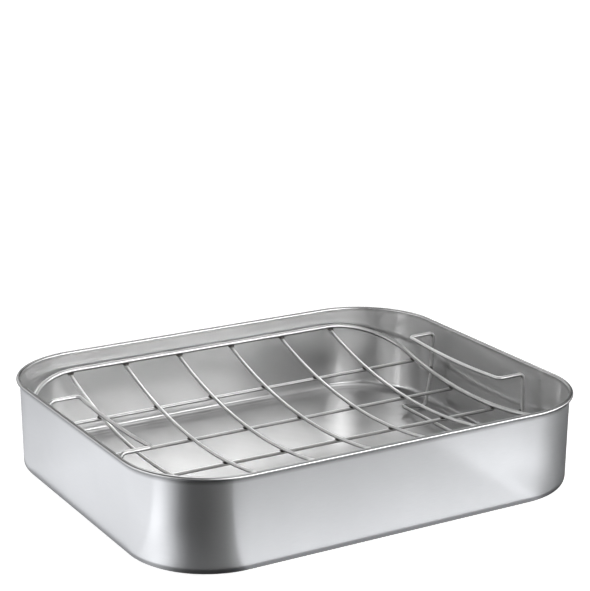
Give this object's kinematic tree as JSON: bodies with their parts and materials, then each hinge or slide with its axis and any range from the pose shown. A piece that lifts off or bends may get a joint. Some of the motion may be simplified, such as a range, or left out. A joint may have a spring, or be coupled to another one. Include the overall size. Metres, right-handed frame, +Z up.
{
  "type": "roasting pan with rack",
  "caption": "Deep rectangular sheet steel roasting pan with large rounded corners and a rolled rim, and a lift-out cradle-shaped wire rack with a grip loop at each end.",
  "frame": {"origin": "under the middle of the pan, on the surface that it stands on", "axes": "+X along the long sides, +Y across from the near side to the far side, +Z up"},
  "size_m": [0.4, 0.33, 0.079],
  "materials": {
    "pan_sheet": "satin stainless sheet, brightest on the rolled rim",
    "rack_wire": "bright plated wire, darker at the welds"
  },
  "bodies": {
    "pan": {"roasting_pan": "pan_sheet"},
    "rack": {"rack_rim_wire": "rack_wire", "right_handle_loop": "rack_wire", "left_handle_loop": "rack_wire", "cross_wire_1": "rack_wire", "cross_wire_2": "rack_wire", "cross_wire_3": "rack_wire", "cross_wire_4": "rack_wire", "cross_wire_5": "rack_wire", "cross_wire_6": "rack_wire", "long_wire_1": "rack_wire", "long_wire_2": "rack_wire", "long_wire_3": "rack_wire", "long_wire_4": "rack_wire"}
  },
  "joints": [
    {"name": "rack_lift", "type": "slide", "parent": "pan", "child": "rack", "axis": [0, 0, 1], "range_m": [0, 0.12]}
  ]
}
